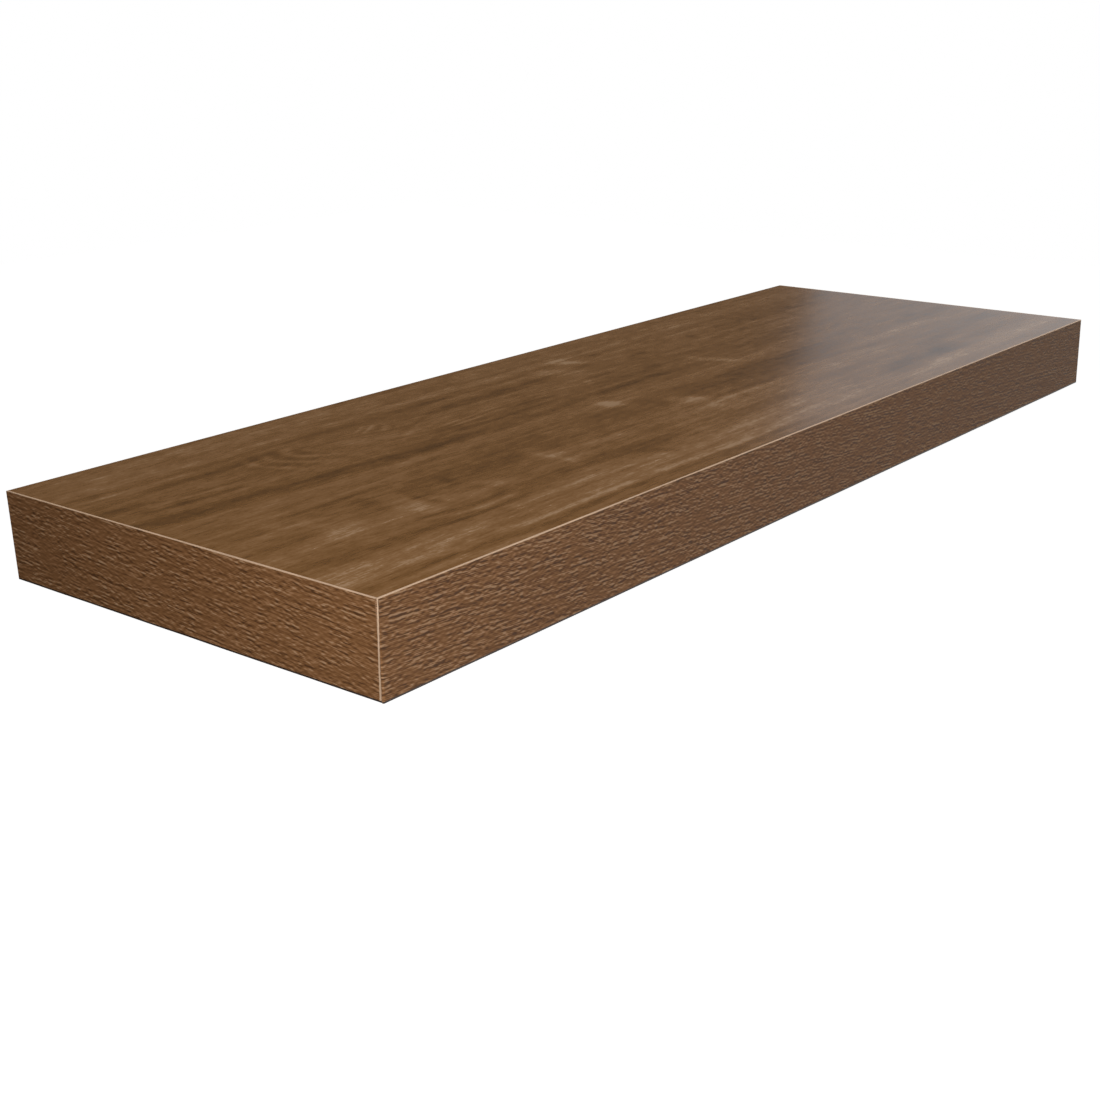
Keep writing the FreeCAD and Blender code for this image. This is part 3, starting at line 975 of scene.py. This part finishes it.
@dataclass
class EdgeBand:
    """One edge band: a pressed print face below a hand-trimmed bevel that bares its pale core.

    Attributes:
        name: name of the piece.
        node: the node that it stands for.
        axis: the way that it runs, which with the next one gives its place at the shelf's rim.
        outward: +1 or -1, the side that it faces along the other level axis.
        rounded_ends: true where it laps over its neighbours' ends, with both its own ends filed round.
        bevel_mm: leg of the top bevel at the start and at the far end of its run.
        seed: seed of its pressing and its trimming.
        cell_mm: length and height of the face's cells.
        foot_bevel_mm: leg of the bottom bevel.
        least_leg_mm: smallest leg that the trimming leaves.
        wander_mm: how far the trimming strays.
        wander_limit: the most that it strays, in multiples of that.
        wander_reach_mm: blur of that straying along the band.
        relief_mm: depth of the pressed pores.
        dash_cell_mm, dash_reach_mm: sample spacing and blur of the pores, along and across the band.
        dash_sharpness: how steep the pores' sides are.
        undulation_mm: how far the rows of pores wave.
        wave_cell_mm, wave_reach_mm: sample spacing and blur of those waves.
        slant: fall of the rows of pores along the band.
        end_round_mm: radius of a filed end.
        end_steps: steps round a filed end, and beside the joint on the neighbour.
        joint_reach: how far those steps go on the neighbour, in radii.
        bare_line_mm: middle of the filed line that bares the core at a corner, at the foot and at the top:
            above 0 it lies that far round the filed end, below 0 that far behind the joint.
        bare_half_mm: half the width of that line, at the foot and at the top.
        dark_line_mm: width of the darker line beside it.
        contrast: strength of the ridges in the finish.
        row_turn: degrees between the nicks and the long rows that they lie in.
    """

    name: str
    node: str
    axis: Axis
    outward: float
    rounded_ends: bool
    bevel_mm: Pair
    seed: int
    cell_mm: Pair = (1.15, 0.42)
    foot_bevel_mm: float = 0.25
    least_leg_mm: float = 0.02
    wander_mm: float = 0.05
    wander_limit: float = 2.0
    wander_reach_mm: float = 14.0
    relief_mm: float = 0.035
    dash_cell_mm: Pair = (0.6, 0.16)
    dash_reach_mm: Pair = (1.4, 0.36)
    dash_sharpness: float = 1.3
    undulation_mm: float = 0.10
    wave_cell_mm: Pair = (3.0, 1.0)
    wave_reach_mm: Pair = (9.0, 5.0)
    slant: float = 0.0
    end_round_mm: float = 1.1
    end_steps: int = 12
    joint_reach: float = 1.5
    bare_line_mm: Pair = (-0.95, 1.05)
    bare_half_mm: Pair = (0.60, 0.30)
    dark_line_mm: float = 0.25
    contrast: float = 0.90
    row_turn: float = -1.15

    def stations(self, length: float) -> Array:
        """Distances of the rings along the band: even, with close ones at a corner of the shelf."""
        steps = int(round(length / self.cell_mm[0]))
        if self.rounded_ends:
            close = self.end_round_mm * (1.0 - np.cos(np.linspace(0.0, math.pi / 2, self.end_steps + 1)))
            far = length - close[::-1]
        else:
            close = self.end_round_mm * np.linspace(0.0, self.joint_reach, self.end_steps + 1)
            far = np.array([length])
        even = np.linspace(close[-1], far[0], steps + 1)[1:-1]
        return np.concatenate([close, even, far])

    def from_end(self, along: Array, length: float) -> Array:
        """Distance in mm from the nearer end, up to the radius of a filed end."""
        return np.minimum(np.minimum(along, length - along), self.end_round_mm)

    def set_back(self, along: Array, length: float) -> Array:
        """How far the face is filed back: radius less the root of radius squared less (radius less distance
        from the end) squared."""
        if not self.rounded_ends:
            return np.zeros_like(along)
        radius = self.end_round_mm
        inside = radius - self.from_end(along, length)
        return radius - np.sqrt(np.maximum(radius ** 2 - inside ** 2, 0.0))

    def round_place(self, along: Array, length: float) -> Array:
        """Distance in mm round the filed end from the joint, or behind the joint with a minus sign."""
        if not self.rounded_ends:
            return -along
        radius = self.end_round_mm
        return radius * np.arccos(np.clip(1.0 - self.from_end(along, length) / radius, 0.0, 1.0))

    def wander(self, along: Array, seed: int) -> Array:
        """How far a hand-trimmed bevel strays from its size, in mm, along the band."""
        strays = smooth_noise((along.max() + 1.0, 2.0), (1.0, 1.0), (self.wander_reach_mm, 1.0), seed)[:, 0]
        strays = np.interp(along, np.arange(len(strays)), strays)
        return np.clip(strays, -self.wander_limit, self.wander_limit) * self.wander_mm

    def legs(self, along: Array, length: float) -> tuple[Array, Array]:
        """Legs in mm of the lower and the upper bevel, trimmed by hand and shorter where the end is filed."""
        back = self.set_back(along, length)
        foot = self.foot_bevel_mm + self.wander(along, self.seed + 3) - back
        top = np.interp(along, (0.0, length), self.bevel_mm) + self.wander(along, self.seed + 2) - back
        return np.clip(foot, self.least_leg_mm, None)[:, None], np.clip(top, self.least_leg_mm, None)[:, None]

    def grain(self, along: Array, height: Array) -> Array:
        """Place in the band's straightened grain: height plus the slant times the distance along, plus a slow
        noise that waves the rows.

        Args:
            along: mm along the band.
            height: mm above the band's lower edge.

        Returns:
            Along, across and zero for each point, in mm.
        """
        waves = noise_at(along, height, self.wave_cell_mm, self.wave_reach_mm, self.seed + 1)
        across = height + self.slant * along + self.undulation_mm * waves
        return np.stack([along, across, np.zeros_like(along)], -1)

    def pressing(self, grain: Array) -> Array:
        """Depth of the pressed pores: one half plus half the tanh of short dashes.

        Args:
            grain: places in the straightened grain, in mm.

        Returns:
            One depth for each point, 0 on a ridge and 1 in a pore.
        """
        along, across = grain[:, 0], grain[:, 1] - grain[:, 1].min()
        dashes = noise_at(along, across, self.dash_cell_mm, self.dash_reach_mm, self.seed)
        return 0.5 + 0.5 * np.tanh(self.dash_sharpness * dashes)

    def face_kinds(self, along: Array, length: float, z: Array) -> Array:
        """Material number of each four-sided face: print, bare core of the top bevel and of the filed line at
        a corner, the darker line beside the filed one, stained underside and a dark line of painted shade
        over the foot.

        Args:
            along: distances of the rings.
            length: length of the band.
            z: height of each ring point above the band's lower edge.

        Returns:
            One number for each face, ring by ring.
        """
        kinds = np.full((len(along) - 1, z.shape[1]), BandFace.PRINT.value)
        middle = (along[:-1] + along[1:]) / 2
        share = z[:-1] / z.max()
        line, half = (foot + (top - foot) * share for foot, top in (self.bare_line_mm, self.bare_half_mm))
        strays = self.wander(z.ravel(), self.seed + 4).reshape(z.shape)[:-1]
        beside = self.round_place(middle, length)[:, None] - line - strays
        filed = (self.set_back(middle, length) > 0)[:, None]
        kinds[filed & (beside > 0) & (beside < half + self.dark_line_mm)] = BandFace.STAIN.value
        kinds[np.abs(beside) < half] = BandFace.CORE.value
        # The foot bevel and the lowest print rows take the painted shade colour: a dark line where the lower
        # edge is in shade.
        underside, painted_foot_shade, top_and_back = slice(0, 1), slice(1, 4), slice(-3, None)
        kinds[:, underside] = BandFace.STAIN.value
        kinds[:, painted_foot_shade] = BandFace.PAINTED_FOOT_SHADE.value
        kinds[:, top_and_back] = BandFace.CORE.value
        return kinds

    def materials(self) -> list[bpy.types.Material]:
        """The print's, the bare faces' and the painted foot shade's finishes, in the order of their numbers.
        """
        bare = [BandCore(f"{self.name}_{face.name.lower()}", colour) for face, colour in BARE_AND_SHADE_COLOURS.items()]
        finishes = [EmbossedDecor(self.contrast, self.row_turn), *bare]
        return [finish.material() for finish in finishes]

    def build(self) -> None:
        """Rings run round the section: flat foot, lower bevel, print face, upper bevel, flat top, back."""
        low, high = (np.array(corner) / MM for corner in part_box(self.node))
        run = self.axis.value
        side = 1 - run
        length, thickness, height = high[run] - low[run], high[side] - low[side], high[2] - low[2]
        along = self.stations(length)
        outer = (thickness - self.set_back(along, length))[:, None]
        foot_leg, top_leg = self.legs(along, length)
        share = np.linspace(0.0, 1.0, int(round(height / self.cell_mm[1])) + 1)[None, :]
        z_face = foot_leg * (1 - share) + (height - top_leg) * share
        zero = np.zeros_like(outer)
        z = np.concatenate([zero, zero, z_face, zero + height, zero + height], 1)
        grain = self.grain(np.broadcast_to(along[:, None], z.shape).ravel(), z.ravel())
        depth = self.pressing(grain).reshape(z.shape)
        calm = smoothstep(0.0, 1.0, self.round_place(along, length) / self.end_round_mm)[:, None]
        relief = self.relief_mm * depth[:, 2:-2] * (calm if self.rounded_ends else 1.0)
        out = np.concatenate([zero, outer - foot_leg, outer - relief, outer - top_leg, zero], 1)
        rings = np.empty((*out.shape, 3))
        rings[..., run] = low[run] + along[:, None]
        rings[..., side] = low[side] + out if self.outward > 0 else high[side] - out
        rings[..., 2] = low[2] + z
        mesh = closed_mesh(self.name, Loft(rings * MM))
        carry(mesh, "emboss", 1.0 - depth.ravel())
        carry(mesh, "grain_place", grain * MM)
        kinds = self.face_kinds(along, length, z)
        numbers = np.full(len(mesh.polygons), BandFace.CORE.value)
        numbers[:kinds.size] = kinds.ravel()
        mesh.polygons.foreach_set("material_index", numbers)
        place_piece(mesh, self.materials(), SHELF_BODY, self.node, sharp_degrees=24.0)


# ---------------------------------------------------------------- the wall bracket

@dataclass
class WeldBeads:
    """The fillet welds round the feet of the rods: a crowned ring with the ripples of the torch.

    Attributes:
        ripples: ripples once round a rod.
        ripple_mm: height of a ripple.
        ripple_steps: rings for each ripple.
        face_points: points across the bead's face.
        edge_lag: how far a ripple lags at the bead's edges, in ripples.
        crown: how far the bead bulges past a straight fillet, in half legs.
        diagonal: share of half a leg that such a bulge takes both along the rail and along the rod, twice.
    """

    ripples: int = 26
    ripple_mm: float = 0.16
    ripple_steps: int = 10
    face_points: int = 9
    edge_lag: float = 0.4
    crown: float = 0.30
    diagonal: float = 0.35

    def bead(self, middle: Array, inner: float, leg: float) -> Loft:
        """A bead about a rod: its section is a curve from the rail to the rod that bulges by a sine, whose
        height follows 1 plus a ripple of the angle, skewed as chevrons, and goes back along the rail.

        Args:
            middle: x of the rod, depth of the rail's face and z of the rod, in mm.
            inner: radius of the rod.
            leg: length of the fillet along the rail and along the rod.

        Returns:
            The surface, in metres.
        """
        angle = np.linspace(0.0, 2 * math.pi, self.ripples * self.ripple_steps, endpoint=False)[:, None]
        share = np.linspace(0.0, 1.0, self.face_points)[None, :]
        lag = 4 * self.edge_lag * (share - 0.5) ** 2
        wave = 0.5 + 0.5 * np.cos(self.ripples * angle - 2 * math.pi * lag)
        bulge = np.sin(math.pi * share) * (self.crown + self.ripple_mm * wave / leg * 2)
        reach = leg * (1 - share) + bulge * leg * self.diagonal
        rise = leg * share + bulge * leg * self.diagonal
        radius = np.concatenate([inner + reach, np.full_like(angle, inner)], 1)
        depth = np.concatenate([rise, np.zeros_like(angle)], 1)
        points = [middle[0] + radius * np.cos(angle), middle[1] - depth, middle[2] + radius * np.sin(angle)]
        return Loft(np.stack(points, -1) * MM, closed_path=True)

    def build(self) -> None:
        """One piece of three beads, each as wide as its node's fillet and round its own rod."""
        low, high = (np.array(corner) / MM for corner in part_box("rod_welds"))
        face, leg = high[1], high[1] - low[1]
        beads = []
        for node in ROD_NODES:
            rod_low, rod_high = (np.array(corner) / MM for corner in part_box(node))
            x, _, z = (rod_low + rod_high) / 2
            beads.append(self.bead(np.array([x, face, z]), (rod_high[0] - rod_low[0]) / 2, leg))
        mesh = closed_mesh("rod_weld_beads", *beads)
        material = ZincPlate("plated_weld", (0.50, 0.50, 0.50), 0.42, 0.00006).material()
        place_piece(mesh, [material], BRACKET_BODY, "rod_welds", sharp_degrees=60.0)


# ---------------------------------------------------------------- solids that keep their shape

@dataclass
class DressedSolids:
    """Finishes for the solids that show as they are, by the material slot that the record gives each."""

    def finishes(self) -> dict[str, bpy.types.Material]:
        """One material for each slot of the record."""
        return {
            "zinc_steel": ZincPlate("zinc_plate", (0.66, 0.67, 0.68), 0.34).material(),
            "walnut_decor": WalnutDecor(FigureSource.STRAIGHT, roughness=0.46).material(),
            "fibreboard": FIBREBOARD.material(),
            "particle_board": ParticleBoard().material(),
            "honeycomb_paper": KRAFT_PAPER.material(),
            "staple_wire": ZincPlate("galvanised_wire", (0.60, 0.60, 0.60), 0.40).material(),
            "brass": TurnedBrass().material(),
            "black_steel": BlackOxide().material(),
        }

    def dress(self) -> None:
        """Gives every shown solid the finish of its slot."""
        finishes = self.finishes()
        slots = {part["node"]: part["material_slot"] for part in frame["record"]["subparts"]}
        for node, solid in frame["nodes"].items():
            if solid.hide_render:
                continue
            solid.data.materials.clear()
            solid.data.materials.append(finishes[slots[node]])
            log.info("%s: finished as %s", node, slots[node])


# ---------------------------------------------------------------- studio and camera

# The upright edge where the dark flag and the window card meet, in x and y.
CARD_JOINT = (1.404, 0.522)


def stage_sheet(name: str, corners: list[Triple], material: bpy.types.Material,
                unseen: tuple[str, ...] = ()) -> None:
    """Puts up a flat four-sided sheet of the studio, which isn't part of the shelf.

    Args:
        name: its name.
        corners: its corners, in order.
        material: its finish.
        unseen: the kinds of ray that miss it.
    """
    mesh = bpy.data.meshes.new(name)
    mesh.from_pydata(corners, [], [(0, 1, 2, 3)])
    mesh.materials.append(material)
    sheet = add_object(name, mesh)
    for kind in unseen:
        setattr(sheet, "visible_" + kind, False)


@dataclass(frozen=True)
class Lamp:
    """A soft square lamp.

    Attributes:
        name: its name.
        place: where it hangs.
        target: what it points at.
        size: length of its sides.
        power: watts.
        spread: degrees that its light fans out.
    """

    name: str
    place: Triple
    target: Triple
    size: float
    power: float
    spread: float = 180.0

    def hang(self) -> None:
        """Hangs the lamp where neither the camera nor a reflection sees it."""
        data = bpy.data.lights.new(self.name, "AREA")
        data.size = self.size
        data.energy = self.power
        data.spread = math.radians(self.spread)
        lamp = add_object(self.name, data)
        lamp.location = self.place
        lamp.rotation_euler = (Vector(self.target) - Vector(self.place)).to_track_quat("-Z", "Y").to_euler()
        lamp.visible_camera = False
        lamp.visible_glossy = False


@dataclass(frozen=True)
class Card:
    """An upright card that only reflections see, shaded from one end to the other.

    Attributes:
        name: its name.
        start: x and y of its first upright edge.
        end: x and y of its other upright edge.
        height: its lower and upper edge, above the middle of the shelf.
        first: radiance at its first edge.
        last: radiance at its other edge.
        lean: how far its top lies nearer to the first edge's side, as a share of its height.
    """

    name: str
    start: Pair
    end: Pair
    height: Pair
    first: Colour
    last: Colour
    lean: float = 0.0

    def hang(self) -> None:
        """Hangs the card; its light is a straight blend along its run."""
        (x0, y0), (x1, y1), (low, high) = self.start, self.end, self.height
        shift = Vector((x0 - x1, y0 - y1)).normalized() * self.lean * (high - low)
        corners = [(x0, y0, low), (x1, y1, low),
                   (x1 + shift.x, y1 + shift.y, high), (x0 + shift.x, y0 + shift.y, high)]
        run = Vector((x1 - x0, y1 - y0, 0.0))
        bench = Bench(self.name)
        along = bench.add("VectorMath", {0: bench.object_place(), 1: tuple(run / run.length_squared)},
                          operation="DOT_PRODUCT").outputs["Value"]
        offset = (x0 * run.x + y0 * run.y) / run.length_squared
        share = bench.remap(along, offset, offset + 1.0, 0.0, 1.0)
        glow = bench.glow(bench.blend(share, self.first, self.last), 1.0)
        stage_sheet(self.name, corners, bench.output(glow),
                    ("camera", "diffuse", "transmission", "volume_scatter", "shadow"))


@dataclass
class Studio:
    """A plain white room with soft light, the shelf hanging well above its pale floor.

    Attributes:
        floor_height: height of the floor below the shelf's middle.
        floor_reach: how far the floor runs each way.
        floor_glow: how much of the floor's white it shows to the camera besides the light that falls on it.
        ambient: how bright the room is for diffuse light.
        lamps, cards: what hangs around the shelf.
    """

    floor_height: float = -1.4
    floor_reach: float = 9.0
    floor_glow: float = 0.91
    ambient: float = 0.13
    lamps: tuple[Lamp, ...] = (
        Lamp("key_softbox", (-0.50, -0.95, 0.38), (-0.3, -0.20, 0.0), 0.40, 1.95, 140.0),
        Lamp("side_softbox", (-0.75, -0.40, 0.10), (-0.35, -0.2, 0.0), 0.3, 1.45),
        Lamp("top_softbox", (0.3, -0.1, 1.8), (0.0, -0.14, 0.0), 0.8, 24.0),
        Lamp("right_fill", (1.20, -0.10, -0.25), (0.38, -0.14, 0.0), 0.30, 5.0),
        Lamp("rear_fill", (0.0, 0.90, -0.28), (0.0, 0.0, 0.0), 0.50, 6.0),
        Lamp("under_fill", (0.0, -0.12, -1.0), (0.0, -0.14, 0.0), 0.30, 4.5),
    )
    cards: tuple[Card, ...] = (
        Card("dark_flag", (-1.30, 2.00), CARD_JOINT, (-0.1, 1.6), (0.05, 0.04, 0.03), (0.08, 0.07, 0.06),
             0.19),
        Card("window_card", CARD_JOINT, (2.20, -0.75), (-0.1, 2.0), (0.38, 0.43, 0.48), (1.50, 1.55, 1.60),
             0.19),
        Card("side_flag", (-0.90, 0.10), (-0.383, 0.03), (-0.9, 0.6), (0.03, 0.02, 0.01), (0.03, 0.02, 0.01)),
    )

    def world(self) -> None:
        """White to the camera and to reflections, and an even dimmer light on the surfaces."""
        bench = Bench("studio_room", world=True)
        strength = bench.add("Mix", {0: bench.seen(), 2: self.ambient, 3: 1.0}).outputs[0]
        backdrop = bench.add("Background", {"Color": WHITE, "Strength": strength}).outputs[0]
        bpy.context.scene.world = bench.output(backdrop, "OutputWorld")

    def floor(self) -> None:
        """A wide pale floor that looks white but keeps a faint shadow."""
        bench = Bench("pale_floor")
        grain = bench.noise(bench.object_place(), (0.05,) * 3, 3.0)
        shade = bench.total([(grain, 0.02)], start=0.74)
        grey = bench.add("CombineColor", {0: shade, 1: shade, 2: shade}).outputs[0]
        diffuse = bench.add("BsdfDiffuse", {"Color": grey}).outputs[0]
        glow = bench.glow(WHITE, bench.math("MULTIPLY", bench.seen(), self.floor_glow))
        both = bench.add("AddShader", {0: diffuse, 1: glow}).outputs[0]
        reach = self.floor_reach
        corners = [(x * reach, y * reach, self.floor_height) for x, y in ((-1, -1), (1, -1), (1, 1), (-1, 1))]
        stage_sheet("studio_floor", corners, bench.output(both))

    def build(self) -> None:
        """Sets up the room and the floor, and hangs the lamps and the cards around the shelf."""
        self.world()
        self.floor()
        for hung in self.lamps + self.cards:
            hung.hang()
        log.info("studio: room, floor at %.2f m, %d lamps, %d cards", self.floor_height, len(self.lamps),
                 len(self.cards))


@dataclass(frozen=True)
class Viewpoint:
    """The camera: a little above the shelf, in front of its left end.

    Attributes:
        place: where it stands.
        azimuth, elevation, roll: degrees; azimuth turns from +Y towards +X, elevation is above the horizon.
        lens_mm, frame_mm: focal length, and width of the frame behind it.
        shift: shift of the frame sideways and upwards, as shares of its width.
    """

    place: Triple = (-0.8408, -0.77352, 0.27474)
    azimuth: float = 52.8025
    elevation: float = -19.9331
    roll: float = -0.549
    lens_mm: float = 53.566
    frame_mm: float = 36.0
    shift: Pair = (-0.08519, 0.02549)

    def axes(self) -> Matrix:
        """The camera's right, up and back axes as columns: level axes turned by azimuth, elevation, roll."""
        azimuth, elevation, roll = (math.radians(a) for a in (self.azimuth, self.elevation, self.roll))
        level = math.cos(elevation)
        ahead = Vector((math.sin(azimuth) * level, math.cos(azimuth) * level, math.sin(elevation)))
        side = Vector((math.cos(azimuth), -math.sin(azimuth), 0.0))
        above = side.cross(ahead)
        right = side * math.cos(roll) + above * math.sin(roll)
        up = above * math.cos(roll) - side * math.sin(roll)
        return Matrix((right, up, -ahead)).transposed()

    def build(self) -> None:
        """Sets the scene's camera."""
        data = bpy.data.cameras.new("shelf_camera")
        data.sensor_width = self.frame_mm
        data.lens = self.lens_mm
        data.shift_x, data.shift_y = self.shift
        camera = add_object("shelf_camera", data)
        camera.matrix_world = Matrix.Translation(self.place) @ self.axes().to_4x4()
        bpy.context.scene.camera = camera


def main() -> None:
    """Builds the pieces in order, dresses the solids, and hangs the studio and the camera."""
    logging.basicConfig(level=logging.INFO, format="%(name)s: %(message)s")
    bpy.context.scene.view_settings.view_transform = "Standard"
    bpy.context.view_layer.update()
    WalnutTop().build()
    EdgeBand("front_band_print", "front_edge_band", Axis.X, -1.0, True, (0.22, 0.25), 31, slant=0.09).build()
    EdgeBand("left_band_print", "left_edge_band", Axis.Y, -1.0, False, (0.26, 0.08), 41, slant=-0.03,
             contrast=0.65, row_turn=-2.3).build()
    EdgeBand("right_band_print", "right_edge_band", Axis.Y, 1.0, False, (0.29, 0.20), 51).build()
    WeldBeads().build()
    DressedSolids().dress()
    Studio().build()
    Viewpoint().build()


if __name__ == "__main__":
    main()
